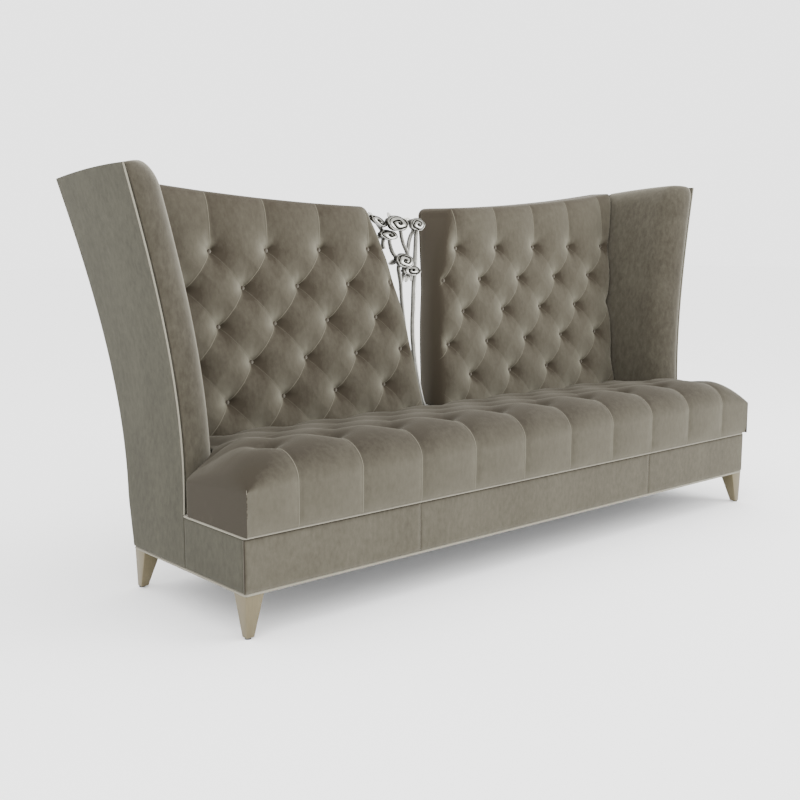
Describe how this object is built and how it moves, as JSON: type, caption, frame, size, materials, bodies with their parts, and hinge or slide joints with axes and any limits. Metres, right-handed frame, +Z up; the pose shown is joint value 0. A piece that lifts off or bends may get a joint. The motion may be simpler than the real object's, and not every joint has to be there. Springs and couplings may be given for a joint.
{
  "type": "high back settee",
  "caption": "High back upholstered settee with flared wings, diamond tufted half backs either side of a gap with a carved rose ornament, a tufted bench seat and tapered legs.",
  "frame": {"origin": "on the floor below the middle of the bounding box", "axes": "+X across the settee to the sitter's left, which is the right of the picture, +Y from the seat's front edge to the back, +Z up"},
  "size_m": [2.642, 0.828, 1.2846],
  "materials": {
    "velvet": "taupe velvet with a soft sheen",
    "velvet_outside": "taupe velvet, flat panels",
    "velvet_button": "velvet covered button",
    "welt": "pale satin cord",
    "timber": "raw hardwood",
    "leg": "champagne metallic lacquer",
    "steel": "zinc plated",
    "jute": "woven webbing",
    "felt": "needled felt",
    "cambric": "thin black cambric",
    "glide": "matte",
    "silver_leaf": "silver leaf, bright highlights"
  },
  "bodies": {
    "root": {"front_rail": "timber", "back_rail": "timber", "end_rails": "timber", "cross_rails": "timber", "corner_blocks": "timber", "back_frame_left": "timber", "back_frame_right": "timber", "wing_frame_left": "timber", "wing_frame_right": "timber", "back_webbing_left": "jute", "back_webbing_right": "jute", "seat_springs": "steel", "spring_clips": "steel", "felt_pad": "felt", "seat_cushion": "velvet", "back_pad_left": "velvet", "back_pad_right": "velvet", "back_buttons_left": "velvet_button", "back_buttons_right": "velvet_button", "wing_pad_left": "velvet", "wing_pad_right": "velvet", "wing_side_left": "velvet_outside", "wing_side_right": "velvet_outside", "outside_back_left": "velvet_outside", "outside_back_right": "velvet_outside", "front_band_left": "velvet", "front_band_centre": "velvet", "front_band_right": "velvet", "side_band_left": "velvet_outside", "side_band_right": "velvet_outside", "seat_welt": "welt", "base_welt": "welt", "wing_welt_left": "welt", "wing_welt_right": "welt", "front_leg_left": "leg", "front_leg_right": "leg", "back_leg_left": "leg", "back_leg_right": "leg", "leg_plates": "steel", "leg_bolts": "steel", "leg_glides": "glide", "dust_cover": "cambric", "rose_stems": "silver_leaf", "rose_high_left": "silver_leaf", "rose_high_centre": "silver_leaf", "rose_high_right": "silver_leaf", "rose_tucked": "silver_leaf", "rose_low_left": "silver_leaf", "rose_low_right": "silver_leaf", "rose_leaves": "silver_leaf", "rose_brackets": "steel", "rose_screws": "steel"}
  },
  "joints": []
}
